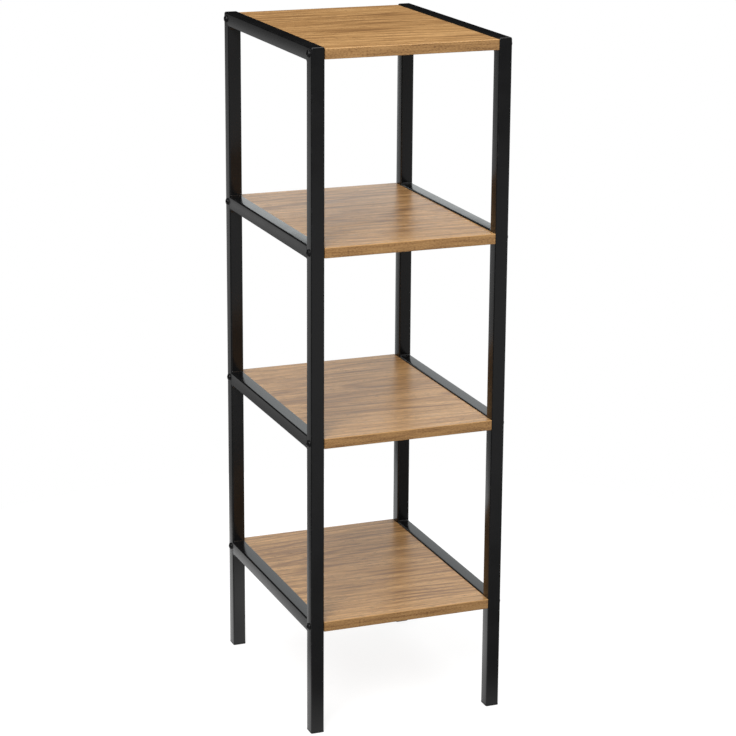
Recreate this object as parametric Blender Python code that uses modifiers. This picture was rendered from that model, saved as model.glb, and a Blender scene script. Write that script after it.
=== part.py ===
"""A slim four tier bathroom shelf: two welded steel side frames with wooden boards bolted between them.

X runs along the width, Y to the back and Z up. The origin is the middle of the footprint, on the floor.
Each side frame is two square tube uprights and four square tube rails. The top rail is mitred into
the uprights, and the other rails butt between them. Each board carries an edge band in front and behind,
and four bolts run through the uprights into barrel nuts in its underside.
"""

import math

import bmesh
import bpy
from mathutils import Matrix, Vector

# Overall sizes
WIDTH = 0.300
DEPTH = 0.380
HEIGHT = 1.010

# Square steel tube of the side frames
TUBE_SIDE = 0.020
TUBE_WALL = 0.0012
TUBE_RADIUS = 0.0018
BORE_RADIUS = 0.0006

# Boards
BOARD_THICKNESS = 0.015
BAND_THICKNESS = 0.001
TOP_BOARD_DROP = 0.002
BOTTOM_BOARD_TOP = 0.1725

# Bolts with a domed head and a hexagon socket
BOLT_DIAMETER = 0.006
BOLT_PAST_NUT = 0.0017
BOLT_POINT = 0.001
HEAD_DIAMETER = 0.0105
HEAD_HEIGHT = 0.0033
HEAD_RIM = 0.0008
SOCKET_WIDTH = 0.004
SOCKET_DEPTH = 0.002

# Barrel nuts in the underside of the boards
NUT_DIAMETER = 0.010
NUT_LENGTH = 0.010
NUT_INSET = 0.018
NUT_SLOT_WIDTH = 0.0014
NUT_SLOT_DEPTH = 0.001

# Plastic foot plugs
FOOT_FLANGE = 0.002
FOOT_STEM = 0.014
FOOT_STEM_WALL = 0.0016
FOOT_RIB_HEIGHT = 0.001
FOOT_RIB_RISE = 0.0006

# Fits
CLEARANCE = 0.0003
CUT_OVERRUN = 0.002
MERGE_DISTANCE = 0.00001

# Places that follow other sizes, as shares of them
STEM_RIB_PLACE_SHARES = (0.3, 0.7)

# Facets
CORNER_STEPS = 3
ROUND_STEPS = 16
BORE_STEPS = 12
DOME_STEPS = 4

TIER_NAMES = ("top", "upper", "lower", "bottom")
SIDES = (("left", -1), ("right", 1))
ENDS = (("front", -1), ("back", 1))

STEEL = ("black_steel", (0.012, 0.012, 0.013, 1.0), 0.42, 0.0)
BOLT_STEEL = ("black_bolt", (0.010, 0.010, 0.011, 1.0), 0.35, 0.6)
NUT_STEEL = ("zinc_steel", (0.55, 0.56, 0.58, 1.0), 0.35, 1.0)
OAK = ("oak_laminate", (0.52, 0.31, 0.14, 1.0), 0.40, 0.0)
OAK_BAND = ("oak_edge_band", (0.36, 0.20, 0.08, 1.0), 0.45, 0.0)
PLASTIC = ("black_plastic", (0.018, 0.018, 0.018, 1.0), 0.55, 0.0)


def clear_scene():
    for obj in list(bpy.data.objects):
        bpy.data.objects.remove(obj, do_unlink=True)


def make_collection(name):
    collection = bpy.data.collections.new(name)
    bpy.context.scene.collection.children.link(collection)
    return collection


def make_material(finish):
    name, colour, roughness, metallic = finish
    material = bpy.data.materials.get(name) or bpy.data.materials.new(name)
    material.use_nodes = True
    shader = material.node_tree.nodes["Principled BSDF"]
    shader.inputs["Base Color"].default_value = colour
    shader.inputs["Roughness"].default_value = roughness
    shader.inputs["Metallic"].default_value = metallic
    return material


def place(name, mesh, location, parent, turn=None):
    """An object of the shelf with this mesh, at a place and a turn in the frame of its parent."""
    obj = bpy.data.objects.new(name, mesh)
    shelf.objects.link(obj)
    obj.parent = parent
    obj.location = location
    if turn:
        obj.rotation_euler = turn
    return obj


def helper(name, mesh):
    """A hidden object that cuts or joins another."""
    obj = bpy.data.objects.new(name, mesh)
    cutters.objects.link(obj)
    obj.hide_render = True
    obj.display_type = "WIRE"
    return obj


def combine(name, mesh, others, operation):
    """The mesh after a Boolean with each of the other meshes in turn."""
    base = helper(name, mesh)
    for number, other in enumerate(others):
        step = base.modifiers.new(f"step_{number}", "BOOLEAN")
        step.operation = operation
        step.solver = "EXACT"
        step.object = helper(f"{name}_{operation.lower()}_{number}", other)
    graph = bpy.context.evaluated_depsgraph_get()
    made = bpy.data.meshes.new_from_object(base.evaluated_get(graph))
    made.name = name
    return made


def shade(mesh, angle=math.radians(35)):
    mesh.shade_smooth()
    mesh.set_sharp_from_angle(angle=angle)


def finished(mesh, finish):
    mesh.materials.clear()
    mesh.materials.append(make_material(finish))
    shade(mesh)
    return mesh


def rounded_square(side, radius):
    """The closed outline of a square with round corners, as points in order."""
    reach = side / 2 - radius
    points = []
    for quarter in range(4):
        middle = (quarter + 0.5) * math.pi / 2
        corner = Vector((math.copysign(reach, math.cos(middle)), math.copysign(reach, math.sin(middle))))
        for step in range(CORNER_STEPS + 1):
            angle = (quarter + step / CORNER_STEPS) * math.pi / 2
            points.append(corner + radius * Vector((math.cos(angle), math.sin(angle))))
    return points


def extruded(name, outlines, length):
    """A flat curve of these outlines, thickened to this length along Z and made a closed mesh."""
    curve = bpy.data.curves.new(name, "CURVE")
    curve.dimensions = "2D"
    curve.fill_mode = "BOTH"
    curve.extrude = length / 2
    for outline in outlines:
        spline = curve.splines.new("POLY")
        spline.points.add(len(outline) - 1)
        for point, (x, y) in zip(spline.points, outline):
            point.co = (x, y, 0, 1)
        spline.use_cyclic_u = True
    flat = helper(name + "_outline", curve)
    graph = bpy.context.evaluated_depsgraph_get()
    mesh = bpy.data.meshes.new_from_object(flat.evaluated_get(graph))
    bpy.data.objects.remove(flat, do_unlink=True)
    form = bmesh.new()
    form.from_mesh(mesh)
    bmesh.ops.remove_doubles(form, verts=form.verts, dist=MERGE_DISTANCE)
    bmesh.ops.recalc_face_normals(form, faces=form.faces)
    form.to_mesh(mesh)
    form.free()
    mesh.name = name
    return mesh


def square_tube(name, length, slope_start, slope_end):
    """A hollow square tube along Z. Each end leans by its slope, so that a slope of one is a mitre."""
    outer = rounded_square(TUBE_SIDE, TUBE_RADIUS)
    inner = rounded_square(TUBE_SIDE - 2 * TUBE_WALL, BORE_RADIUS)
    mesh = extruded(name, (outer, inner), length)
    for vertex in mesh.vertices:
        slope = slope_end if vertex.co.z > 0 else slope_start
        vertex.co.z += slope * vertex.co.y
    return mesh


def box(name, low, high):
    """A box between two corners."""
    low, high = Vector(low), Vector(high)
    form = bmesh.new()
    size = Matrix.Diagonal((high - low).to_4d())
    size[3][3] = 1
    bmesh.ops.create_cube(form, size=1, matrix=Matrix.Translation((low + high) / 2) @ size)
    mesh = bpy.data.meshes.new(name)
    form.to_mesh(mesh)
    form.free()
    return mesh


def rods(name, ends, diameter, steps=BORE_STEPS):
    """Cylinders of one diameter in one mesh, each from a start to an end."""
    form = bmesh.new()
    for start, end in ends:
        start, end = Vector(start), Vector(end)
        axis = end - start
        turn = axis.to_track_quat("Z", "Y").to_matrix().to_4x4()
        bmesh.ops.create_cone(
            form,
            cap_ends=True,
            segments=steps,
            radius1=diameter / 2,
            radius2=diameter / 2,
            depth=axis.length,
            matrix=Matrix.Translation((start + end) / 2) @ turn,
        )
    mesh = bpy.data.meshes.new(name)
    form.to_mesh(mesh)
    form.free()
    return mesh


def turned(name, profile):
    """A solid of revolution about Z. The profile runs from its top on the axis to its foot on the axis."""
    mesh = bpy.data.meshes.new(name + "_profile")
    edges = [(i, i + 1) for i in range(len(profile) - 1)]
    mesh.from_pydata([(radius, 0, height) for radius, height in profile], edges, [])
    obj = helper(name + "_turned", mesh)
    screw = obj.modifiers.new("turn", "SCREW")
    screw.axis = "Z"
    screw.steps = ROUND_STEPS
    screw.render_steps = ROUND_STEPS
    screw.use_merge_vertices = True
    screw.merge_threshold = MERGE_DISTANCE
    graph = bpy.context.evaluated_depsgraph_get()
    made = bpy.data.meshes.new_from_object(obj.evaluated_get(graph))
    bpy.data.objects.remove(obj, do_unlink=True)
    return made


def board_tops():
    """Heights of the board tops, from the top board down, in equal steps."""
    highest = HEIGHT - TOP_BOARD_DROP
    step = (highest - BOTTOM_BOARD_TOP) / (len(TIER_NAMES) - 1)
    return [highest - step * tier for tier in range(len(TIER_NAMES))]


def bolt_heights():
    return [top - BOARD_THICKNESS / 2 for top in board_tops()]


def upright_offset():
    """From the middle of the depth to the middle of an upright."""
    return (DEPTH - TUBE_SIDE) / 2


def nut_offset():
    """From the middle of the width to the middle of a barrel nut."""
    return WIDTH / 2 - TUBE_SIDE - CLEARANCE - NUT_INSET


def upright_mesh(name, end, bottom):
    """An upright of the frame end at -1 for the front or 1 for the back, with its top mitre and bolt holes."""
    top = HEIGHT - TUBE_SIDE / 2 - CLEARANCE * math.sqrt(2)
    length = top - bottom
    tube = square_tube(name, length, 0, end)
    reach = TUBE_SIDE / 2 + CUT_OVERRUN
    middle = (top + bottom) / 2
    bores = [((-reach, 0, z - middle), (reach, 0, z - middle)) for z in bolt_heights()]
    holes = rods(name + "_bolt_holes", bores, BOLT_DIAMETER + 2 * CLEARANCE)
    return combine(name, tube, [holes], "DIFFERENCE"), middle


def make_uprights():
    """Four uprights, each standing on its foot plug."""
    bottom = FOOT_FLANGE + CLEARANCE
    for end_name, end in ENDS:
        mesh, middle = upright_mesh(f"upright_{end_name}", end, bottom)
        finished(mesh, STEEL)
        for side_name, side in SIDES:
            name = f"upright_{end_name}_{side_name}"
            place(name, mesh, (0, end * upright_offset(), middle), frames[side])


def make_rails():
    """The mitred top rails and the lower rails, which butt between the uprights."""
    lie_along_y = (-math.pi / 2, 0, 0)
    mitred = square_tube("rail_mitred", 2 * upright_offset(), 1, -1)
    drop = HEIGHT - TUBE_SIDE / 2 - bolt_heights()[0]
    reach = TUBE_SIDE / 2 + CUT_OVERRUN
    along = [end * upright_offset() for _, end in ENDS]
    bores = [((-reach, drop, place_along), (reach, drop, place_along)) for place_along in along]
    holes = rods("rail_bolt_holes", bores, BOLT_DIAMETER + 2 * CLEARANCE)
    mitred = finished(combine("rail_mitred", mitred, [holes], "DIFFERENCE"), STEEL)
    between = DEPTH - 2 * (TUBE_SIDE + CLEARANCE)
    butted = finished(square_tube("rail_butted", between, 0, 0), STEEL)
    for tier, top in zip(TIER_NAMES, board_tops()):
        mesh = mitred if tier == TIER_NAMES[0] else butted
        z = top + TOP_BOARD_DROP - TUBE_SIDE / 2
        for side_name, side in SIDES:
            place(f"side_rail_{side_name}_{tier}", mesh, (0, 0, z), frames[side], lie_along_y)


def fixing_places():
    """The places along the width and across the depth of a board where its four barrel nuts sit."""
    return [(side * nut_offset(), end * upright_offset()) for _, side in SIDES for _, end in ENDS]


def make_boards():
    """The boards between the side frames, each with bolt bores in its ends and nut holes in its underside."""
    half_width = WIDTH / 2 - TUBE_SIDE - CLEARANCE
    half_depth = DEPTH / 2 - BAND_THICKNESS - CLEARANCE
    half = BOARD_THICKNESS / 2
    slab = box("shelf_board", (-half_width, -half_depth, -half), (half_width, half_depth, half))
    bore_end = WIDTH / 2 - bolt_length() - CLEARANCE
    bores = []
    nut_holes = []
    for x, y in fixing_places():
        side = math.copysign(1, x)
        bores.append(((side * (half_width + CUT_OVERRUN), y, 0), (side * bore_end, y, 0)))
        nut_holes.append(((x, y, -half - CUT_OVERRUN), (x, y, NUT_LENGTH / 2 + CLEARANCE)))
    cuts = [
        rods("bolt_bores", bores, BOLT_DIAMETER + 2 * CLEARANCE),
        rods("nut_holes", nut_holes, NUT_DIAMETER + 2 * CLEARANCE, ROUND_STEPS),
    ]
    mesh = finished(combine("shelf_board", slab, cuts, "DIFFERENCE"), OAK)
    band_low = (-half_width, -BAND_THICKNESS / 2, -half)
    band_high = (half_width, BAND_THICKNESS / 2, half)
    band = finished(box("edge_band", band_low, band_high), OAK_BAND)
    for tier, top in zip(TIER_NAMES, board_tops()):
        z = top - half
        place(f"shelf_board_{tier}", mesh, (0, 0, z), stand)
        for end_name, end in ENDS:
            y = end * (DEPTH - BAND_THICKNESS) / 2
            place(f"edge_band_{end_name}_{tier}", band, (0, y, z), stand)


def bolt_length():
    """From under the head through the upright and the board's end to a little past the barrel nut."""
    nut_middle = TUBE_SIDE + 2 * CLEARANCE + NUT_INSET
    return nut_middle + NUT_DIAMETER / 2 + BOLT_PAST_NUT


def bolt_mesh():
    """A bolt along Z with its head's flat underside at zero, its dome above and its shank below."""
    radius = HEAD_DIAMETER / 2
    shank = BOLT_DIAMETER / 2
    length = bolt_length()
    profile = []
    for step in range(DOME_STEPS + 1):
        angle = step / DOME_STEPS * math.pi / 2
        rise = HEAD_RIM + (HEAD_HEIGHT - HEAD_RIM) * math.cos(angle)
        profile.append((radius * math.sin(angle), rise))
    profile += [
        (radius, 0),
        (shank, 0),
        (shank, BOLT_POINT - length),
        (shank - BOLT_POINT, -length),
        (0, -length),
    ]
    form = turned("bolt", profile)
    across_corners = SOCKET_WIDTH / math.cos(math.pi / 6)
    floor = HEAD_HEIGHT - SOCKET_DEPTH
    socket = rods("socket", [((0, 0, floor), (0, 0, HEAD_HEIGHT + CUT_OVERRUN))], across_corners, 6)
    return finished(combine("bolt", form, [socket], "DIFFERENCE"), BOLT_STEEL)


def nut_mesh():
    """A barrel nut along Z with a cross bore for the bolt and a driver slot in its lower end."""
    half = NUT_LENGTH / 2
    barrel = rods("barrel", [((0, 0, -half), (0, 0, half))], NUT_DIAMETER, ROUND_STEPS)
    reach = NUT_DIAMETER / 2 + CUT_OVERRUN
    bore = rods("cross_bore", [((-reach, 0, 0), (reach, 0, 0))], BOLT_DIAMETER + 2 * CLEARANCE)
    low = (-reach, -NUT_SLOT_WIDTH / 2, -half - CUT_OVERRUN)
    slot = box("driver_slot", low, (reach, NUT_SLOT_WIDTH / 2, -half + NUT_SLOT_DEPTH))
    return finished(combine("barrel_nut", barrel, [bore, slot], "DIFFERENCE"), NUT_STEEL)


def make_fixings():
    """Sixteen bolts through the uprights, each in its barrel nut in a board."""
    bolt = bolt_mesh()
    nut = nut_mesh()
    head = WIDTH / 2 + CLEARANCE
    for tier, z in zip(TIER_NAMES, bolt_heights()):
        for side_name, side in SIDES:
            point_inwards = (0, side * math.pi / 2, 0)
            for end_name, end in ENDS:
                where = f"{side_name}_{end_name}_{tier}"
                y = end * upright_offset()
                place(f"bolt_{where}", bolt, (side * head, y, z), stand, point_inwards)
                place(f"barrel_nut_{where}", nut, (side * nut_offset(), y, z), stand)


def foot_mesh():
    """A plug with a flange under the tube and a hollow ribbed stem inside it. Its underside is at zero."""
    flange = extruded("foot_flange", [rounded_square(TUBE_SIDE, TUBE_RADIUS)], FOOT_FLANGE)
    flange.transform(Matrix.Translation((0, 0, FOOT_FLANGE / 2)))
    bore = TUBE_SIDE - 2 * TUBE_WALL
    stem_side = bore - 2 * (CLEARANCE + FOOT_RIB_RISE)
    stem_length = FOOT_STEM + FOOT_FLANGE / 2
    stem = extruded("foot_stem", [rounded_square(stem_side, BORE_RADIUS)], stem_length)
    stem.transform(Matrix.Translation((0, 0, FOOT_FLANGE / 2 + stem_length / 2)))
    added = [stem]
    for share in STEM_RIB_PLACE_SHARES:
        rib = extruded("foot_rib", [rounded_square(bore - 2 * CLEARANCE, BORE_RADIUS)], FOOT_RIB_HEIGHT)
        rib.transform(Matrix.Translation((0, 0, FOOT_FLANGE + share * FOOT_STEM)))
        added.append(rib)
    joined = combine("foot_joined", flange, added, "UNION")
    pocket_half = stem_side / 2 - FOOT_STEM_WALL
    pocket = box(
        "foot_pocket",
        (-pocket_half, -pocket_half, FOOT_FLANGE),
        (pocket_half, pocket_half, FOOT_FLANGE + FOOT_STEM + CUT_OVERRUN),
    )
    return finished(combine("foot_plug", joined, [pocket], "DIFFERENCE"), PLASTIC)


def make_feet():
    mesh = foot_mesh()
    for end_name, end in ENDS:
        for side_name, side in SIDES:
            place(f"foot_plug_{end_name}_{side_name}", mesh, (0, end * upright_offset(), 0), frames[side])


def make_frames():
    """An empty for the whole stand and one for each side frame, which carries the frame's pieces."""
    root = bpy.data.objects.new("stand", None)
    shelf.objects.link(root)
    made = {}
    for side_name, side in SIDES:
        empty = bpy.data.objects.new(f"frame_{side_name}", None)
        shelf.objects.link(empty)
        empty.parent = root
        empty.location = (side * (WIDTH - TUBE_SIDE) / 2, 0, 0)
        made[side] = empty
    return root, made


clear_scene()
shelf = make_collection("bathroom_shelf")
cutters = make_collection("cutters")
stand, frames = make_frames()
make_uprights()
make_rails()
make_boards()
make_fixings()
make_feet()
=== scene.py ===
"""Looks of a slim four tier shelf with black square tube side frames and oak pattern boards.

The file is laid out as an add-on and is run as a script. X runs along the width, Y to the back and Z up.
"""

import math

import bmesh
import bpy
import numpy as np
from bpy.props import FloatProperty, FloatVectorProperty, IntProperty, PointerProperty
from mathutils import Matrix, Vector


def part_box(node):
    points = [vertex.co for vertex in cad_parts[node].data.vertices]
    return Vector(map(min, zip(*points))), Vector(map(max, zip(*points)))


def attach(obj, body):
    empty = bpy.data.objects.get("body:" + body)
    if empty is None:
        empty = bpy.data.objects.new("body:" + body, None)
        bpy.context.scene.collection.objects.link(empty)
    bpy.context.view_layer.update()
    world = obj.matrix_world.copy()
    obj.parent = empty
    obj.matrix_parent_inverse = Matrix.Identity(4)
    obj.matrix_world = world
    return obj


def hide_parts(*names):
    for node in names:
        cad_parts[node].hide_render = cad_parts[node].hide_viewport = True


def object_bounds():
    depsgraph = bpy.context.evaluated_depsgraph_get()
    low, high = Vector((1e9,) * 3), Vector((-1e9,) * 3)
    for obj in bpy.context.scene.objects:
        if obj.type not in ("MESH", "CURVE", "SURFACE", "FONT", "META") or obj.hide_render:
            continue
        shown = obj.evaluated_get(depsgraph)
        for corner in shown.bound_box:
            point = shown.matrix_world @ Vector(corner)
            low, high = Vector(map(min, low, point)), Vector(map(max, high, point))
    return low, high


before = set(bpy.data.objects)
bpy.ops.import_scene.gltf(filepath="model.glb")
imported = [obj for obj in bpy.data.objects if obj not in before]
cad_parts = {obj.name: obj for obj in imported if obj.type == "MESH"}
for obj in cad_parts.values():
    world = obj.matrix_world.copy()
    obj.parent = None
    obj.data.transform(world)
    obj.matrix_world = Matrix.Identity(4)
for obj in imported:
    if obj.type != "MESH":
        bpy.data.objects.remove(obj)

bl_info = {
    "name": "Four Tier Shelf Looks",
    "version": (1, 0, 0),
    "blender": (4, 5, 0),
    "location": "3D View > Sidebar > Shelf",
    "description": "Builds the finished surfaces, welds, boards and bolts of a slim four tier shelf",
    "category": "Object",
}

CAD_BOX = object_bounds()
BODY = "root"
TIERS = ("top", "upper", "lower", "bottom")
SIDES = (("left", -1), ("right", 1))
ENDS = (("front", -1), ("back", 1))

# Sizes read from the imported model
POST_LOW, POST_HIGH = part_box("upright_front_right")
RAIL_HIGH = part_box("side_rail_right_top")[1]
BOLT_LOW, BOLT_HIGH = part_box("bolt_right_front_top")
TUBE_SIDE = POST_HIGH.x - POST_LOW.x
TUBE_CENTRE = (POST_HIGH.x + POST_LOW.x) / 2
HALF_DEPTH = RAIL_HIGH.y
JOINT_DEPTH = HALF_DEPTH - TUBE_SIDE
FRAME_TOP = RAIL_HIGH.z
HEAD_ACROSS = BOLT_HIGH.y - BOLT_LOW.y

# How finely the shapes are made
CORNER_STEPS = 6
MITRE_PLACES = 6
BAND_PLACES = 7
DOME_PLACES = 9
WELD_PLACES = 7
RIPPLE_STEPS = 6
THREAD_STEPS = 3
FLOOR_CORNERS = 96
SAME_PLACE = 0.000001
SHARP_ANGLE = math.radians(40)

# A weld's ripples, as a share of its size
RIPPLE_SHARE = 0.06

# A hollow weld's reach along the rail and its depth in the steel, as shares of its height
REACH_SHARE = 1.6
HOLLOW_SUNK_SHARE = 0.2

# A groove weld's half width, shift, crown, and the depths of its edges and its back, as shares of its radius
HALF_WIDTH_SHARE = 1.3
SHIFT_SHARE = 0.5
CROWN_SHARE = 0.35
EDGE_SUNK_SHARE = 0.25
BACK_SUNK_SHARE = 1.2

# The mouth of a bolt's socket as a share of its width, and its chamfer as a share of the head's rim
MOUTH_SHARE = 0.62
CHAMFER_SHARE = 0.25

# How far the floor lies under the feet, its glow, and its greys as it is seen, mirrored and as a lamp
FLOOR_DROP = 0.0002
FLOOR_GLOW = 0.84
FLOOR_SEEN = 0.30
FLOOR_MIRRORED = 0.10
FLOOR_LIGHTING = 0.40

# The oval that the floor's mirrored glow fades away from
OVAL_SQUEEZE = (1.6, 1, 1)
OVAL_CENTRE = (0, 0.55, 0)

# Glowing spots beside the front feet, and how far from their centres they are full and gone
FOOT_SPOTS = ((-0.19, -0.12, 0), (0.09, -0.07, 0))
SPOT_FULL = 0.08
SPOT_GONE = 0.26
SPOT_GLOW = 0.5

# The card's glow, which grows from one height to another
CARD_DIM_HEIGHT = 0.68
CARD_BRIGHT_HEIGHT = 0.88
CARD_DIM = 0.82
CARD_BRIGHT = 1.2

# Rises of a direction where the mirrored band starts and ends, and how dark and how far left the wall is
BAND_START = -0.4
BAND_END = 0.2
WALL_EDGE = -0.80
WALL_END = -0.54
WALL_SHARE = 0.1

# The range that noise mostly keeps to
NOISE_LOW = 0.3
NOISE_HIGH = 0.7

# The palest wood against the light wood, which is also the colour of the painted highlight on the edge bands
PALEST_SHARE = 1.2


class FrameSettings(bpy.types.PropertyGroup):
    """Sizes and paint of the side frames and their welds"""

    corner_radius: FloatProperty(
        name="Tube corner radius", description="Outer radius of the tube's corners",
        default=0.0022, unit="LENGTH",
    )
    wall: FloatProperty(
        name="Tube wall", description="Thickness of the steel",
        default=0.0012, unit="LENGTH",
    )
    bead: FloatProperty(
        name="Bead", description="Radius of the weld in the groove beside a rail's end",
        default=0.001, unit="LENGTH",
    )
    fillet: FloatProperty(
        name="Fillet", description="Height of the hollow weld under a rail's end",
        default=0.005, unit="LENGTH",
    )
    upper_fillet: FloatProperty(
        name="Upper fillet", description="Height of the weld over a rail's end",
        default=0.0025, unit="LENGTH",
    )
    weld_pitch: FloatProperty(
        name="Weld pitch", description="Distance from one ripple of a weld to the next",
        default=0.0017, unit="LENGTH",
    )
    paint: FloatVectorProperty(
        name="Paint", description="Colour of the powder coat",
        subtype="COLOR", default=(0.0075, 0.0075, 0.0078),
    )
    roughness: FloatProperty(
        name="Roughness", description="Roughness of the powder coat",
        default=0.18, min=0, max=1,
    )


class BoardSettings(bpy.types.PropertyGroup):
    """Colours of the oak pattern and looks of the edge bands"""

    light: FloatVectorProperty(
        name="Light wood", description="Pale colour of the grain",
        subtype="COLOR", default=(0.650, 0.376, 0.154),
    )
    middle: FloatVectorProperty(
        name="Middle wood", description="Main colour of the grain",
        subtype="COLOR", default=(0.496, 0.266, 0.097),
    )
    dark: FloatVectorProperty(
        name="Dark wood", description="Colour of the growth lines",
        subtype="COLOR", default=(0.310, 0.156, 0.058),
    )
    pore: FloatVectorProperty(
        name="Pores", description="Colour of the short dark pores",
        subtype="COLOR", default=(0.165, 0.076, 0.028),
    )
    roughness: FloatProperty(
        name="Roughness", description="Roughness of the laminate",
        default=0.30, min=0, max=1,
    )
    ring: FloatProperty(
        name="Ring", description="Distance between growth rings",
        default=0.0100, unit="LENGTH",
    )
    band_shade: FloatProperty(
        name="Band shade", description="Brightness of the edge bands against the boards",
        default=0.76, min=0, max=1,
    )
    band_radius: FloatProperty(
        name="Band radius", description="Rounding of the edge band's corners",
        default=0.0009, unit="LENGTH",
    )


class BoltSettings(bpy.types.PropertyGroup):
    """Sizes and colour of the bolts"""

    head: FloatProperty(
        name="Head", description="Width of the domed head",
        default=HEAD_ACROSS, unit="LENGTH",
    )
    head_height: FloatProperty(
        name="Head height", description="Height of the dome",
        default=0.0033, unit="LENGTH",
    )
    rim: FloatProperty(
        name="Head rim", description="Straight edge under the dome",
        default=0.0008, unit="LENGTH",
    )
    socket: FloatProperty(
        name="Socket", description="Width across the socket's flats",
        default=0.004, unit="LENGTH",
    )
    socket_depth: FloatProperty(
        name="Socket depth", description="Depth of the socket",
        default=0.002, unit="LENGTH",
    )
    shank: FloatProperty(
        name="Shank", description="Diameter over the thread",
        default=0.006, unit="LENGTH",
    )
    pitch: FloatProperty(
        name="Thread pitch", description="Height of one turn of thread",
        default=0.001, unit="LENGTH",
    )
    thread_depth: FloatProperty(
        name="Thread depth", description="Depth of the thread",
        default=0.0005, unit="LENGTH",
    )
    facets: IntProperty(name="Facets", description="Facets round a head", default=48, min=12)
    colour: FloatVectorProperty(
        name="Colour", description="Colour of the blackened steel",
        subtype="COLOR", default=(0.006, 0.006, 0.0065),
    )


class SmallPartSettings(bpy.types.PropertyGroup):
    """Colours of the nuts and the foot plugs"""

    zinc: FloatVectorProperty(
        name="Zinc", description="Colour of the plated nuts",
        subtype="COLOR", default=(0.62, 0.63, 0.66),
    )
    plastic: FloatVectorProperty(
        name="Plastic", description="Colour of the foot plugs",
        subtype="COLOR", default=(0.015, 0.015, 0.015),
    )


class StageSettings(bpy.types.PropertyGroup):
    """Camera, lamps, surroundings, card and floor"""

    azimuth: FloatProperty(
        name="Azimuth", description="How far left of the front the camera stands",
        subtype="ANGLE", default=math.radians(21.46),
    )
    elevation: FloatProperty(
        name="Elevation", description="Height angle of the camera",
        subtype="ANGLE", default=math.radians(15.48),
    )
    roll: FloatProperty(
        name="Roll", description="Tilt of the picture",
        subtype="ANGLE", default=math.radians(0.36),
    )
    distance: FloatProperty(
        name="Distance", description="Camera to its target",
        default=3.681, unit="LENGTH",
    )
    aim_across: FloatProperty(
        name="Aim across", description="Target along the width",
        default=0.010, unit="LENGTH",
    )
    aim_height: FloatProperty(
        name="Aim height", description="Target above the floor",
        default=0.5316, unit="LENGTH",
    )
    lens: FloatProperty(name="Lens", description="Focal length in millimetres", default=120.0)
    shift: FloatProperty(name="Shift", description="Vertical shift of the picture", default=-0.0354)
    key: FloatProperty(name="Key light", description="Power of the key lamp in watts", default=70.0)
    top: FloatProperty(name="Top light", description="Power of the lamp overhead in watts", default=18.0)
    sky: FloatProperty(name="Sky", description="Strength of the surrounding light", default=0.50)
    card_top: FloatProperty(
        name="Card top", description="Top of the white card behind",
        default=1.0, unit="LENGTH",
    )
    card_left: FloatProperty(
        name="Card left", description="Left edge of the card",
        default=-0.05, unit="LENGTH",
    )
    card_right: FloatProperty(
        name="Card right", description="Right edge of the card",
        default=1.6, unit="LENGTH",
    )
    card_distance: FloatProperty(
        name="Card distance", description="From the middle of the shelf to the card",
        default=0.70, unit="LENGTH",
    )
    card_colour: FloatVectorProperty(
        name="Card colour", description="Colour of the card",
        subtype="COLOR", default=(0.95, 0.99, 1.0),
    )
    floor_radius: FloatProperty(
        name="Floor radius", description="Reach of the white floor",
        default=1.0, unit="LENGTH",
    )


GROUPS = {
    "shelf_frame": FrameSettings,
    "shelf_boards": BoardSettings,
    "shelf_bolts": BoltSettings,
    "shelf_small_parts": SmallPartSettings,
    "shelf_stage": StageSettings,
}


def grey(value):
    """A colour with this value in each of its channels."""
    return (value, value, value)


def tinted(colour, share):
    """A colour with each of its channels times a share."""
    return tuple(share * channel for channel in colour)


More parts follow.
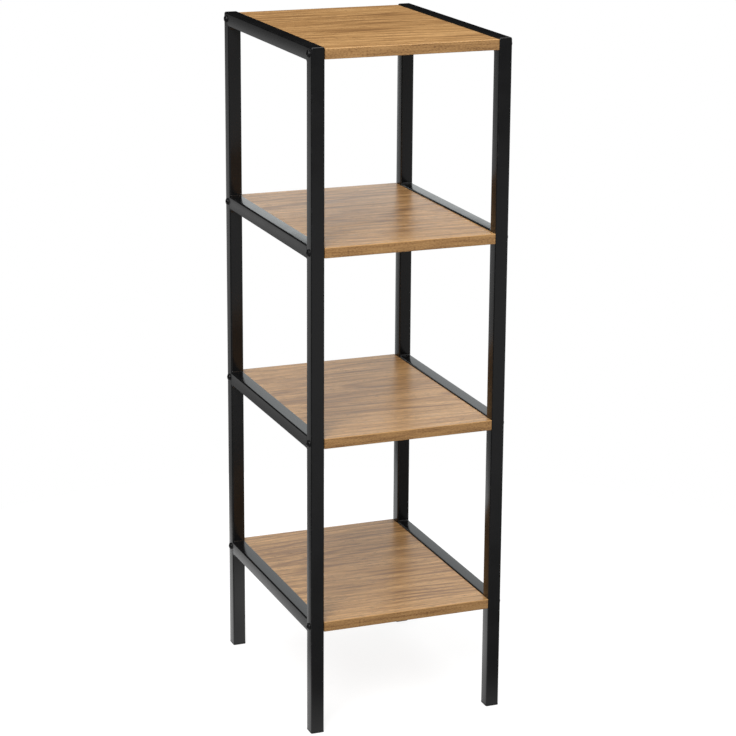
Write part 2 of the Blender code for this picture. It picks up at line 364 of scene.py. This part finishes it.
class Nodes:
    """Short ways to add nodes to a shader tree."""

    def __init__(self, tree):
        self.tree = tree
        self.coordinates = self.add("ShaderNodeTexCoord").outputs

    def put(self, node, key, value):
        """Links a socket of a node, or sets it."""
        if isinstance(value, bpy.types.NodeSocket):
            self.tree.links.new(value, node.inputs[key])
        else:
            node.inputs[key].default_value = value

    def add(self, kind, sockets=None, **values):
        """A node with these values, and with its sockets linked or set."""
        node = self.tree.nodes.new(kind)
        for key, value in values.items():
            setattr(node, key, value)
        for key, value in (sockets or {}).items():
            self.put(node, key, value)
        return node

    def reckon(self, operation, *values):
        """Joins values by one operation, one after another."""
        total = values[0]
        for value in values[1:]:
            total = self.add("ShaderNodeMath", {0: total, 1: value}, operation=operation).outputs[0]
        return total

    def sum(self, *values):
        return self.reckon("ADD", *values)

    def times(self, *values):
        return self.reckon("MULTIPLY", *values)

    def seen(self, *kinds):
        """One for rays of these kinds, and none for the others."""
        path = self.add("ShaderNodeLightPath").outputs
        return self.reckon("MAXIMUM", *[path[f"Is {kind} Ray"] for kind in kinds])

    def parts(self, vector):
        """The X, Y and Z of a vector."""
        return self.add("ShaderNodeSeparateXYZ", {"Vector": vector}).outputs

    def away(self, point, centre):
        """The distance of a point from a fixed one."""
        ends = {0: point, 1: centre}
        return self.add("ShaderNodeVectorMath", ends, operation="DISTANCE").outputs["Value"]

    def fit(self, source, low, high, new_low=0.0, new_high=1.0):
        """Maps a range of a value onto another."""
        source_range = {"Value": source, "From Min": low, "From Max": high}
        new_range = {"To Min": new_low, "To Max": new_high}
        return self.add("ShaderNodeMapRange", {**source_range, **new_range}).outputs["Result"]

    def spread(self, noise, new_low, new_high):
        """Maps the range that noise mostly keeps to onto another."""
        return self.fit(noise, NOISE_LOW, NOISE_HIGH, new_low, new_high)

    def ramp(self, source, *stops):
        """A colour that follows a value through stops, each a place and a colour."""
        node = self.add("ShaderNodeValToRGB", {"Fac": source})
        elements = node.color_ramp.elements
        while len(elements) < len(stops):
            elements.new(0.5)
        for element, (place, colour) in zip(elements, stops):
            element.position = place
            element.color = (*colour, 1)
        return node.outputs["Color"]

    def curve(self, source, *stops):
        """A level that follows a value through stops, each a place and a level."""
        return self.ramp(source, *[(place, grey(level)) for place, level in stops])

    def either(self, share, one, other):
        """A number that turns into another as the share grows."""
        return self.add("ShaderNodeMix", {"Factor": share, "A": one, "B": other}).outputs["Result"]


class Finish(Nodes):
    """A material in the making, with its Principled shader."""

    def __init__(self, name):
        self.material = bpy.data.materials.new(name)
        self.material.use_nodes = True
        super().__init__(self.material.node_tree)
        self.shader = self.tree.nodes["Principled BSDF"]

    def set(self, key, value):
        """Links a socket of the Principled shader, or sets it."""
        self.put(self.shader, key, value)

    def noise(self, per_metre, detail=2.0, roughness=0.5, distortion=0.0):
        """Noise with this many cells to the metre along X, Y and Z."""
        cells = {"Vector": self.coordinates["Object"], "Scale": per_metre}
        points = self.add("ShaderNodeMapping", cells).outputs["Vector"]
        looks = {"Detail": detail, "Roughness": roughness, "Distortion": distortion}
        return self.add("ShaderNodeTexNoise", {"Vector": points, "Scale": 1.0, **looks}).outputs["Fac"]

    def mix(self, share, one, other):
        """A colour that turns into another, fixed one as the share grows."""
        node = self.add("ShaderNodeMix", {"Factor": share, 6: one, 7: (*other, 1)}, data_type="RGBA")
        return node.outputs[2]

    def attribute(self, name):
        return self.add("ShaderNodeAttribute", attribute_name=name).outputs["Fac"]

    def bump(self, *layers):
        """Bumps, each a height from 0 to 1 and its depth in metres."""
        normal = None
        for height, depth in layers:
            node = self.add("ShaderNodeBump", {"Height": height, "Distance": depth, "Strength": 1.0})
            if normal:
                self.put(node, "Normal", normal)
            normal = node.outputs["Normal"]
        self.set("Normal", normal)


class Glow(Nodes):
    """A material in the making that only gives light, until its output is linked anew."""

    def __init__(self, name, colour):
        self.material = bpy.data.materials.new(name)
        self.material.use_nodes = True
        self.material.node_tree.nodes.clear()
        super().__init__(self.material.node_tree)
        self.output = self.add("ShaderNodeOutputMaterial")
        self.light = self.add("ShaderNodeEmission", {"Color": (*colour, 1)})
        self.put(self.output, "Surface", self.light.outputs[0])


def powder_coat():
    """Satin black paint: a fine orange peel, cloudy gloss and faint wear where the tube turns its corners."""
    group = bpy.context.scene.shelf_frame
    finish = Finish("black_powder_coat")
    cloud = finish.noise((22, 22, 22), detail=4.0)
    chips = finish.curve(finish.noise((95, 95, 95), detail=6.0), (0.50, 0), (0.72, 1))
    worn = finish.times(finish.attribute("rim"), chips, 0.25)
    shades = (NOISE_LOW, tinted(group.paint, 0.85)), (NOISE_HIGH, tinted(group.paint, 1.2))
    paint = finish.ramp(cloud, *shades)
    finish.set("Base Color", finish.mix(worn, paint, grey(0.03)))
    gloss = finish.spread(cloud, group.roughness - 0.02, group.roughness + 0.04)
    finish.set("Roughness", finish.sum(gloss, worn))
    orange_peel = finish.noise((650, 650, 650))
    powder = finish.noise((2600, 2600, 2600))
    finish.bump((orange_peel, 0.000009), (powder, 0.000002))
    return finish.material


def oak_print():
    """Oak pattern laminate with its grain along X, as a plank sawn beside the heart of a tree.

    Growth rings are distances from an axis that runs nearly along X, bent by a slow and a quick noise, so
    that they cut the board in long arches in the middle of its depth and in closer lines near its edges.
    Height shifts the pattern, so that no two boards are alike. Streaks, dashes and fibres are noises drawn
    out along X, and pores are short gaps, most of them in the pale part of a ring. Painted light makes each
    board lighter towards its front edge and a little lighter along its back edge.
    """
    group = bpy.context.scene.shelf_boards
    finish = Finish("oak_laminate_print")
    place = finish.coordinates["Object"]
    log = {"Location": (0.0, -0.01, 0.17), "Rotation": (0.0, math.radians(3.0), 0.0), "Scale": (1, 1, 0.11)}
    in_log = finish.add("ShaderNodeMapping", {"Vector": place, **log}).outputs["Vector"]
    sideways = {0: in_log, 1: (0.0, 1.0, 1.0)}
    across = finish.add("ShaderNodeVectorMath", sideways, operation="MULTIPLY").outputs["Vector"]
    radius = finish.add("ShaderNodeVectorMath", {0: across}, operation="LENGTH").outputs["Value"]
    slow_bend = finish.times(finish.noise((1.8, 8.0, 9.3)), 0.060)
    quick_bend = finish.times(finish.noise((6.0, 60.0, 31.0)), 0.007)
    rings = finish.times(finish.sum(radius, slow_bend, quick_bend), 1 / group.ring)
    in_ring = finish.add("ShaderNodeMath", {0: rings}, operation="FRACT").outputs[0]
    late = finish.curve(in_ring, (0.0, 0.8), (0.10, 0.1), (0.55, 0.2), (0.86, 0.95), (1.0, 0.8))
    strength = finish.spread(finish.noise((3.0, 24.0, 17.0)), -0.28, -0.88)
    lines = finish.times(late, strength)
    streaks = finish.spread(finish.noise((9.0, 170.0, 90.0), distortion=0.2), -0.46, 0.46)
    dashes = finish.curve(finish.noise((34.0, 230.0, 170.0), detail=3.0), (0.34, 1), (0.42, 0))
    fibres = finish.noise((10.0, 420.0, 420.0), detail=4.0, roughness=0.6)
    broad = finish.spread(finish.noise((2.2, 26.0, 21.0)), -0.15, 0.15)
    depth = finish.parts(place)["Y"]
    # Painted light: each board is lighter towards its front edge, where light falls in from the front, and a
    # little lighter along its back edge
    front = finish.fit(depth, -0.17, -0.02, 0.30, 0.0)
    back = finish.fit(depth, 0.11, 0.17, 0.0, 0.12)
    fine = finish.spread(fibres, 0.42, 1.04)
    # The grain and the painted light at the front and back, summed into one tone
    grain_and_painted_light = lines, streaks, finish.times(dashes, -0.27), broad, front, back, fine
    tone = finish.times(finish.sum(*grain_and_painted_light), 0.75)
    palest = tinted(group.light, PALEST_SHARE)
    wood = finish.ramp(tone, (0.0, group.dark), (0.36, group.middle), (0.75, group.light), (1.0, palest))
    holes = finish.curve(finish.noise((80.0, 1100.0, 1100.0)), (0.35, 1), (0.43, 0))
    pores = finish.times(holes, finish.curve(late, (0.2, 0.8), (0.7, 0.15)))
    finish.set("Base Color", finish.mix(pores, wood, group.pore))
    finish.set("Roughness", finish.spread(fibres, group.roughness - 0.04, group.roughness + 0.08))
    finish.bump((fibres, 0.00002), (finish.times(pores, -1.0), 0.00003))
    return finish.material


def band_print():
    """Edge band in the boards' colours, darker, with speckled grain and a painted highlight along its upper
    rounded corner.
    """
    group = bpy.context.scene.shelf_boards
    finish = Finish("oak_edge_band_print")
    speckle = finish.noise((300.0, 700.0, 760.0), detail=3.0, roughness=0.6)
    streaks = finish.noise((14.0, 90.0, 240.0), detail=3.0)
    tone = finish.sum(finish.spread(speckle, 0.0, 0.72), finish.spread(streaks, -0.10, 0.40))
    colours = group.pore, group.dark, group.middle, group.light
    shades = [tinted(colour, group.band_shade) for colour in colours]
    wood = finish.ramp(tone, *zip((0.0, 0.22, 0.52, 1.0), shades))
    # Painted highlight: a pale line along the band's upper rounded corner, where light catches the edge
    painted_highlight = finish.times(finish.attribute("rim"), 0.8)
    finish.set("Base Color", finish.mix(painted_highlight, wood, tinted(group.light, PALEST_SHARE)))
    finish.set("Roughness", finish.spread(speckle, group.roughness, group.roughness + 0.12))
    finish.bump((speckle, 0.00003))
    return finish.material


def small_finish(name, colour, roughness, metallic, per_metre, depth):
    """A moulded or plated finish: a colour with slight clouds, uneven gloss and a fine bump."""
    finish = Finish(name)
    noise = finish.noise((per_metre, per_metre, per_metre), detail=4.0)
    shades = (NOISE_LOW, tinted(colour, 0.8)), (NOISE_HIGH, tinted(colour, 1.15))
    finish.set("Base Color", finish.ramp(noise, *shades))
    finish.set("Roughness", finish.spread(noise, roughness - 0.05, roughness + 0.08))
    finish.set("Metallic", metallic)
    finish.bump((noise, depth))
    return finish.material


def stack(x, y, z):
    """Points from places along each axis, stretched to a common shape."""
    return np.stack(np.broadcast_arrays(x, y, z), -1)


def surface(name, points, close_rows=False, rim=None):
    """A mesh of quads over a grid of points, rows by columns.

    Each row is a closed ring, and the last row joins the first where close_rows says so. Doubled points are
    merged, which closes the poles, and faces are turned outwards.
    """
    rows, columns = points.shape[:2]
    row, column = np.meshgrid(np.arange(rows if close_rows else rows - 1), np.arange(columns), indexing="ij")
    next_row, next_column = (row + 1) % rows, (column + 1) % columns
    corners = (row, column), (row, next_column), (next_row, next_column), (next_row, column)
    quads = np.stack([r * columns + c for r, c in corners], -1)
    mesh = bpy.data.meshes.new(name)
    mesh.from_pydata(points.reshape(-1, 3), [], quads.reshape(-1, 4))
    if rim is not None:
        attribute = mesh.attributes.new("rim", "FLOAT", "POINT")
        attribute.data.foreach_set("value", np.ascontiguousarray(rim, np.float32).ravel())
    form = bmesh.new()
    form.from_mesh(mesh)
    bmesh.ops.remove_doubles(form, verts=form.verts, dist=SAME_PLACE)
    bmesh.ops.dissolve_degenerate(form, edges=form.edges, dist=SAME_PLACE / 2)
    bmesh.ops.recalc_face_normals(form, faces=form.faces)
    form.to_mesh(mesh)
    form.free()
    mesh.shade_smooth()
    mesh.set_sharp_from_angle(angle=SHARP_ANGLE)
    return mesh


def added(name, data):
    """A new object in the scene."""
    obj = bpy.data.objects.new(name, data)
    bpy.context.scene.collection.objects.link(obj)
    return obj


def piece(name, mesh, material, slot, *nodes):
    """An object of the shelf at the origin, riding the one body and standing for these CAD nodes."""
    obj = added(name, mesh)
    mesh.materials.append(material)
    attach(obj, BODY)
    if nodes:
        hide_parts(*nodes)


def refinish(node, material):
    """Gives a CAD node another material."""
    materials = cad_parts[node].data.materials
    materials.clear()
    materials.append(material)


def rounded_square(side, radius):
    """Angles and points round a square: a quarter circle about each of four centres."""
    quarter = np.arange(4)[:, None]
    angle = np.linspace(0, math.pi / 2, CORNER_STEPS + 1)[None, :] + quarter * math.pi / 2
    middle = (quarter + 0.5) * math.pi / 2
    reach = side / 2 - radius
    u = np.sign(np.cos(middle)) * reach + radius * np.cos(angle)
    v = np.sign(np.sin(middle)) * reach + radius * np.sin(angle)
    return angle.ravel(), u.ravel(), v.ravel()


def tube(name, trace):
    """A hollow square tube as one closed surface: its outer wall out, and its bore back.

    trace gives rows of points from the profile's places across the tube and inwards from its outer side. The
    rim attribute is the square of the sine of twice the profile's angle: one on corners, none on flats.
    """
    group = bpy.context.scene.shelf_frame
    angle, across, height = rounded_square(TUBE_SIDE, group.corner_radius)
    bore_side, bore_radius = TUBE_SIDE - 2 * group.wall, group.corner_radius - group.wall
    _, bore_across, bore_height = rounded_square(bore_side, bore_radius)
    out = trace(across, height + TUBE_SIDE / 2)
    back = trace(bore_across, bore_height + TUBE_SIDE / 2)[::-1]
    rim = np.broadcast_to(np.sin(2 * angle) ** 2, out.shape[:2])
    rim = np.concatenate([rim, np.zeros(back.shape[:2])])
    return surface(name, np.concatenate([out, back]), close_rows=True, rim=rim)


def mitre_turn(inward, start, end):
    """Half of a corner that is sharp inside and round outside, from one angle to the other.

    Each point of the profile turns about its own centre. Its radius grows from none at the inner side to
    the tube's corner radius at the outer side, so that 45 degrees is the mitre plane all along.
    """
    radius = bpy.context.scene.shelf_frame.corner_radius * (1 - inward / TUBE_SIDE)
    angle = np.linspace(start, end, MITRE_PLACES)[:, None]
    beside = inward + radius - radius * np.cos(angle)
    below = inward + radius - radius * np.sin(angle)
    return beside, below


class SHELF_OT_stage(bpy.types.Operator):
    """Sets up the floor, the white card behind, the lamps, the surroundings and the camera"""

    bl_idname = "shelf.stage"
    bl_label = "Stage"

    def execute(self, context):
        group = context.scene.shelf_stage
        self.floor(group)
        self.card(group)
        self.world(group)
        self.lamp("key_lamp", place=(-1.5, -2.1, 2.5), size=1.6, power=group.key)
        self.lamp("top_lamp", place=(0.3, 0.1, 2.7), size=1.8, power=group.top)
        self.camera(group)
        context.scene.view_settings.view_transform = "Standard"
        return {"FINISHED"}

    def flat(self, name, corners, material):
        """A flat sheet with these corners in order."""
        mesh = bpy.data.meshes.new(name)
        mesh.from_pydata(corners, [], [range(len(corners))])
        mesh.materials.append(material)
        obj = added(name, mesh)
        return obj

    def floor(self, group):
        """A round white floor just under the feet, which takes the shelf's shadow.

        It glows for what is seen of it, so that it meets the white surroundings without an edge. Glossy
        surfaces see that glow fade away from an oval behind the shelf and from a spot beside each front foot.
        It lights the shelf as grey paint does.
        """
        glow = Glow("floor_white", grey(1))
        place = glow.coordinates["Object"]
        oval = glow.add("ShaderNodeMapping", {"Vector": place, "Scale": OVAL_SQUEEZE}).outputs["Vector"]
        from_oval = glow.away(oval, OVAL_CENTRE)
        fade = glow.curve(from_oval, (0.38, 0.90), (0.47, 0.72), (0.58, 0.34), (0.68, 0.15), (0.90, 0.03))
        reaches = [glow.away(place, spot) for spot in FOOT_SPOTS]
        spots = [glow.fit(reach, SPOT_FULL, SPOT_GONE, SPOT_GLOW, 0) for reach in reaches]
        mirrored = glow.seen("Glossy")
        glow.put(glow.light, "Strength", glow.either(mirrored, FLOOR_GLOW, glow.sum(fade, *spots)))
        shade = glow.either(mirrored, FLOOR_SEEN, FLOOR_MIRRORED)
        shown = glow.add("ShaderNodeBsdfDiffuse", {"Color": shade})
        lighting = glow.add("ShaderNodeBsdfDiffuse", {"Color": (*grey(FLOOR_LIGHTING), 1)})
        glowing = glow.add("ShaderNodeAddShader", {0: glow.light.outputs[0], 1: shown.outputs[0]})
        looked_at = glow.seen("Camera", "Glossy", "Transmission")
        choice = {0: looked_at, 1: lighting.outputs[0], 2: glowing.outputs[0]}
        glow.put(glow.output, "Surface", glow.add("ShaderNodeMixShader", choice).outputs[0])
        turn = np.linspace(0, 2 * math.pi, FLOOR_CORNERS, endpoint=False)
        corners = stack(group.floor_radius * np.cos(turn), group.floor_radius * np.sin(turn), -FLOOR_DROP)
        self.flat("floor", corners.tolist(), glow.material)

    def card(self, group):
        """A white card behind the shelf, brighter towards its top, which only shows in glossy surfaces."""
        left, right, y, top = group.card_left, group.card_right, group.card_distance, group.card_top
        corners = [(left, y, 0), (right, y, 0), (right, y, top), (left, y, top)]
        glow = Glow("card_white", group.card_colour)
        height = glow.parts(glow.coordinates["Object"])["Z"]
        strength = glow.fit(height, CARD_DIM_HEIGHT, CARD_BRIGHT_HEIGHT, CARD_DIM, CARD_BRIGHT)
        glow.put(glow.light, "Strength", strength)
        card = self.flat("card", corners, glow.material)
        card.visible_camera = False
        card.visible_diffuse = False
        card.visible_shadow = False

    def world(self, group):
        """White to the camera, and even to the rays that light things.

        Glossy surfaces see a grey band under the horizon, a dark room above it and a dark wall to the left.
        """
        world = bpy.data.worlds.new("studio")
        world.use_nodes = True
        sky = Nodes(world.node_tree)
        way = sky.parts(sky.coordinates["Generated"])
        lower = (0.10, 0.20), (0.18, 0.26), (0.25, 0.33), (0.30, 0.44), (0.335, 0.50)
        upper = (0.385, 0.33), (0.425, 0.20), (0.50, 0.10), (0.70, 0.004)
        band = sky.curve(sky.fit(way["Z"], BAND_START, BAND_END), *lower, *upper)
        around = sky.times(band, sky.fit(way["X"], WALL_EDGE, WALL_END, WALL_SHARE, 1))
        strength = sky.either(sky.seen("Glossy"), group.sky, around)
        strength = sky.either(sky.seen("Camera", "Transmission"), strength, 1.0)
        background = world.node_tree.nodes["Background"]
        sky.put(background, "Color", (1, 1, 1, 1))
        sky.put(background, "Strength", strength)
        bpy.context.scene.world = world

    def lamp(self, name, place, size, power):
        """A round lamp that points at the middle of the shelf."""
        data = bpy.data.lights.new(name, "AREA")
        data.shape = "DISK"
        data.size = size
        data.energy = power
        obj = added(name, data)
        obj.location = place
        middle = (CAD_BOX[0] + CAD_BOX[1]) / 2
        obj.rotation_euler = (middle - obj.location).to_track_quat("-Z", "Y").to_euler()
        obj.visible_camera = False

    def camera(self, group):
        """Looks at its target from the front left and a little above."""
        data = bpy.data.cameras.new("camera")
        data.lens = group.lens
        data.shift_y = group.shift
        camera = added("camera", data)
        left, forward = math.sin(group.azimuth), math.cos(group.azimuth)
        level, rise = math.cos(group.elevation), math.sin(group.elevation)
        back = Vector((-left * level, -forward * level, rise))
        right = Vector((forward, -left, 0))
        up = back.cross(right)
        cosine, sine = math.cos(group.roll), math.sin(group.roll)
        axes = Matrix((right * cosine + up * sine, up * cosine - right * sine, back)).transposed()
        target = Vector((group.aim_across, 0, group.aim_height))
        camera.matrix_world = Matrix.Translation(target + back * group.distance) @ axes.to_4x4()
        bpy.context.scene.camera = camera


class SHELF_OT_side_frames(bpy.types.Operator):
    """Builds the uprights and rails of both side frames as hollow tubes, mitred and rounded at the top"""

    bl_idname = "shelf.side_frames"
    bl_label = "Side Frames"

    def execute(self, context):
        coat = powder_coat()
        for side_name, side in SIDES:
            centre = side * TUBE_CENTRE
            for end_name, end in ENDS:
                node = f"upright_{end_name}_{side_name}"
                mesh = self.upright(centre, end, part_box(node)[0].z)
                piece(f"painted_{node}", mesh, coat, "black_steel", node)
            for tier in TIERS:
                node = f"side_rail_{side_name}_{tier}"
                if tier == TIERS[0]:
                    mesh = self.mitred_rail(centre)
                else:
                    mesh = self.butted_rail(centre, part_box(node)[1].z)
                piece(f"painted_{node}", mesh, coat, "black_steel", node)
        return {"FINISHED"}

    def upright(self, centre, end, foot):
        """A tube straight up from its foot and through the lower half of the top corner's turn."""

        def trace(across, inward):
            beside, below = mitre_turn(inward, 0, math.pi / 4)
            beside = np.concatenate([beside[:1], beside])
            height = np.concatenate([np.full_like(below[:1], foot), FRAME_TOP - below])
            return stack(centre + across, end * (HALF_DEPTH - beside), height)

        return tube("upright", trace)

    def mitred_rail(self, centre):
        """A tube from the mitre in front to the one behind, with the upper half of each corner's turn."""

        def trace(across, inward):
            beside, below = mitre_turn(inward, math.pi / 4, math.pi / 2)
            depth = np.concatenate([beside - HALF_DEPTH, (HALF_DEPTH - beside)[::-1]])
            return stack(centre + across, depth, FRAME_TOP - np.concatenate([below, below[::-1]]))

        return tube("rail", trace)

    def butted_rail(self, centre, top):
        """A straight tube from upright to upright."""

        def trace(across, inward):
            return stack(centre + across, np.array([[-JOINT_DEPTH], [JOINT_DEPTH]]), top - inward)

        return tube("rail", trace)


class SHELF_OT_welds(bpy.types.Operator):
    """Lays rippled welds where the rails meet the uprights, hollow below and above, and flush on the sides"""

    bl_idname = "shelf.welds"
    bl_label = "Welds"

    def execute(self, context):
        group = context.scene.shelf_frame
        coat = bpy.data.materials["black_powder_coat"]
        for side_name, side in SIDES:
            for tier in TIERS:
                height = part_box(f"side_rail_{side_name}_{tier}")[1].z - TUBE_SIDE / 2
                for end_name, end in ENDS:
                    mesh = self.weld(group, side * TUBE_CENTRE, height, end, whole=tier != TIERS[0])
                    piece(f"weld_{side_name}_{end_name}_{tier}", mesh, coat, "black_steel")
        return {"FINISHED"}

    def weld(self, group, centre, height, end, whole):
        """A section carried round the rail's end, or only under it where the joint above is a mitre.

        On the rail's sides the section is a flat arc that fills the groove. Under and over the rail it is a
        hollow quarter ellipse from rail to upright. Between them the two blend as the square of the profile's
        sine, and the section's size follows a sine of the length for the ripples.
        """
        profile = rounded_square(TUBE_SIDE, group.corner_radius)
        closing = 2 * math.pi, profile[1][0], profile[2][0]
        angle, u, v = (np.append(values, last) for values, last in zip(profile, closing))
        if not whole:
            angle, u, v = (values[v <= 0] for values in (angle, u, v))
        run = np.append(0, np.cumsum(np.hypot(np.diff(u), np.diff(v))))
        ripples = int(run[-1] / group.weld_pitch)
        along = np.linspace(0, run[-1], ripples * RIPPLE_STEPS, endpoint=not whole)
        angle, u, v = (np.interp(along, run, values)[:, None] for values in (angle, u, v))
        share = np.sin(angle) ** 2
        size = 1 + RIPPLE_SHARE * np.sin(2 * math.pi * along / group.weld_pitch)[:, None]
        leg = size * np.where(angle > math.pi, group.fillet, group.upper_fillet)
        bead = size * group.bead * whole
        turn = np.linspace(0, 1, WELD_PLACES)
        quarter, half = turn * math.pi / 2, turn * math.pi
        hollow_beside = np.append(REACH_SHARE * leg * (1 - np.sin(quarter)), -HOLLOW_SUNK_SHARE * leg, axis=1)
        hollow_out = np.append(leg * (1 - np.cos(quarter)), -HOLLOW_SUNK_SHARE * leg, axis=1)
        bead_beside = bead * (HALF_WIDTH_SHARE * np.cos(half) - SHIFT_SHARE)
        bead_beside = np.append(bead_beside, -SHIFT_SHARE * bead, axis=1)
        bead_out = bead * (CROWN_SHARE * np.sin(half) - EDGE_SUNK_SHARE)
        bead_out = np.append(bead_out, -BACK_SUNK_SHARE * bead, axis=1)
        beside = share * hollow_beside + (1 - share) * bead_beside
        x = centre + u + np.cos(angle) * (1 - share) * bead_out
        sine = np.sin(angle)
        z = height + v + sine * (1 - share) * bead_out + np.sign(sine) * share * hollow_out
        return surface("weld", stack(x, end * (JOINT_DEPTH - beside), z), close_rows=whole)


class SHELF_OT_boards(bpy.types.Operator):
    """Gives the four boards their oak pattern laminate"""

    bl_idname = "shelf.boards"
    bl_label = "Boards"

    def execute(self, context):
        wood = oak_print()
        for tier in TIERS:
            refinish(f"shelf_board_{tier}", wood)
        return {"FINISHED"}


class SHELF_OT_edge_bands(bpy.types.Operator):
    """Builds the edge bands with softly rounded corners, glued to the boards' front and back edges"""

    bl_idname = "shelf.edge_bands"
    bl_label = "Edge Bands"

    def execute(self, context):
        wood = band_print()
        radius = context.scene.shelf_boards.band_radius
        for tier in TIERS:
            for (end_name, end), inner in zip(ENDS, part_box(f"shelf_board_{tier}")):
                node = f"edge_band_{end_name}_{tier}"
                low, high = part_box(node)
                outer = low.y if end < 0 else high.y
                mesh = self.band(radius, low, high, outer, inner.y)
                piece(f"glued_{node}", mesh, wood, "oak_edge_band", node)
        return {"FINISHED"}

    def band(self, radius, low, high, outer, inner):
        """A strip along X: its section is a thin box with a quarter circle on each of its two outer corners.

        The rim attribute is one in the middle of the upper quarter circle, where the band's material paints a
        highlight.
        """
        angle = np.linspace(0, math.pi / 2, BAND_PLACES)
        curve = outer + math.copysign(radius, inner - outer) * (1 - np.cos(angle))
        rise = radius * (np.sin(angle) - 1)
        y = np.concatenate([curve[::-1], curve, [inner, inner]])
        z = np.concatenate([low.z - rise[::-1], high.z + rise, [high.z, low.z]])
        rim = np.concatenate([0 * angle, np.sin(2 * angle), [0, 0]])
        x = np.array([low.x, low.x, high.x, high.x])[:, None]
        share = np.array([0, 1, 1, 0])[:, None]
        middle_y, middle_z = (outer + inner) / 2, (low.z + high.z) / 2
        points = stack(x, middle_y + share * (y - middle_y), middle_z + share * (z - middle_z))
        return surface("band", points, rim=share * rim)


class SHELF_OT_bolts(bpy.types.Operator):
    """Builds the sixteen bolts with domed heads, hexagon sockets and cut threads"""

    bl_idname = "shelf.bolts"
    bl_label = "Bolts"

    def execute(self, context):
        group = context.scene.shelf_bolts
        looks = {"roughness": 0.30, "metallic": 0.0, "per_metre": 900.0, "depth": 0.00001}
        black = small_finish("blackened_bolt", group.colour, **looks)
        for side_name, side in SIDES:
            seat = side * (TUBE_CENTRE + TUBE_SIDE / 2)
            for end_name, _ in ENDS:
                for tier in TIERS:
                    node = f"bolt_{side_name}_{end_name}_{tier}"
                    low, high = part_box(node)
                    length = abs(seat - (high.x if side < 0 else low.x))
                    mesh = self.bolt(group, side, seat, length, (low + high) / 2)
                    piece(f"seated_{node}", mesh, black, "black_bolt", node)
        return {"FINISHED"}

    def bolt(self, group, side, seat, length, centre):
        """A form turned about X from its socket's floor to its tip, whose radius also depends on the angle.

        The socket is a hexagon, the dome a quarter ellipse, and along the shank the radius is a triangle
        wave that climbs by one pitch in each turn.
        """
        phi = np.linspace(0, 2 * math.pi, group.facets, endpoint=False)
        head, shank, mouth = group.head / 2, group.shank / 2, group.socket * MOUTH_SHARE
        hexagon = group.socket / 2 / np.cos(phi % (math.pi / 3) - math.pi / 6)
        floor = group.head_height - group.socket_depth
        tilt = np.linspace(math.asin(mouth / head), math.pi / 2, DOME_PLACES)
        dome = group.rim + (group.head_height - group.rim) * np.cos(tilt)
        places = int(length / group.pitch * THREAD_STEPS)
        turns = np.linspace(-group.pitch, group.pitch - length, places)
        wave = np.abs((turns[:, None] / group.pitch - phi / (2 * math.pi)) % 1 * 2 - 1)
        rings = [(0, floor), (hexagon, floor), (hexagon, dome[0] - group.rim * CHAMFER_SHARE)]
        rings += list(zip(head * np.sin(tilt), dome)) + [(head, 0), (shank, 0)]
        rings += list(zip(shank - group.thread_depth * wave, turns))
        rings += [(shank - group.pitch, -length), (0, -length)]
        radius = np.array([np.broadcast_to(ring, phi.shape) for ring, _ in rings])
        x = seat + side * np.array([height for _, height in rings])[:, None]
        return surface("bolt", stack(x, centre.y + radius * np.cos(phi), centre.z + radius * np.sin(phi)))


class SHELF_OT_barrel_nuts(bpy.types.Operator):
    """Gives the barrel nuts their bright zinc plating"""

    bl_idname = "shelf.barrel_nuts"
    bl_label = "Barrel Nuts"

    def execute(self, context):
        looks = {"roughness": 0.30, "metallic": 1.0, "per_metre": 420.0, "depth": 0.00001}
        zinc = small_finish("bright_zinc", context.scene.shelf_small_parts.zinc, **looks)
        for side_name, _ in SIDES:
            for end_name, _ in ENDS:
                for tier in TIERS:
                    refinish(f"barrel_nut_{side_name}_{end_name}_{tier}", zinc)
        return {"FINISHED"}


class SHELF_OT_feet(bpy.types.Operator):
    """Gives the foot plugs their moulded black plastic"""

    bl_idname = "shelf.feet"
    bl_label = "Feet"

    def execute(self, context):
        looks = {"roughness": 0.5, "metallic": 0.0, "per_metre": 700.0, "depth": 0.00003}
        plastic = small_finish("moulded_black", context.scene.shelf_small_parts.plastic, **looks)
        for side_name, _ in SIDES:
            for end_name, _ in ENDS:
                refinish(f"foot_plug_{end_name}_{side_name}", plastic)
        return {"FINISHED"}


OPERATORS = (
    SHELF_OT_stage,
    SHELF_OT_side_frames,
    SHELF_OT_welds,
    SHELF_OT_boards,
    SHELF_OT_edge_bands,
    SHELF_OT_bolts,
    SHELF_OT_barrel_nuts,
    SHELF_OT_feet,
)


class SHELF_PT_panel(bpy.types.Panel):
    """Lists the steps that dress the shelf"""

    bl_idname = "SHELF_PT_panel"
    bl_label = "Shelf"
    bl_space_type = "VIEW_3D"
    bl_region_type = "UI"
    bl_category = "Shelf"

    def draw(self, context):
        for operator in OPERATORS:
            self.layout.operator(operator.bl_idname)


def register():
    for name, group in GROUPS.items():
        bpy.utils.register_class(group)
        setattr(bpy.types.Scene, name, PointerProperty(type=group))
    for kind in (*OPERATORS, SHELF_PT_panel):
        bpy.utils.register_class(kind)


def unregister():
    for kind in (SHELF_PT_panel, *reversed(OPERATORS)):
        bpy.utils.unregister_class(kind)
    for name, group in reversed(GROUPS.items()):
        delattr(bpy.types.Scene, name)
        bpy.utils.unregister_class(group)


def main():
    register()
    bpy.ops.shelf.stage()
    bpy.ops.shelf.side_frames()
    bpy.ops.shelf.welds()
    bpy.ops.shelf.boards()
    bpy.ops.shelf.edge_bands()
    bpy.ops.shelf.bolts()
    bpy.ops.shelf.barrel_nuts()
    bpy.ops.shelf.feet()


if __name__ == "__main__":
    main()
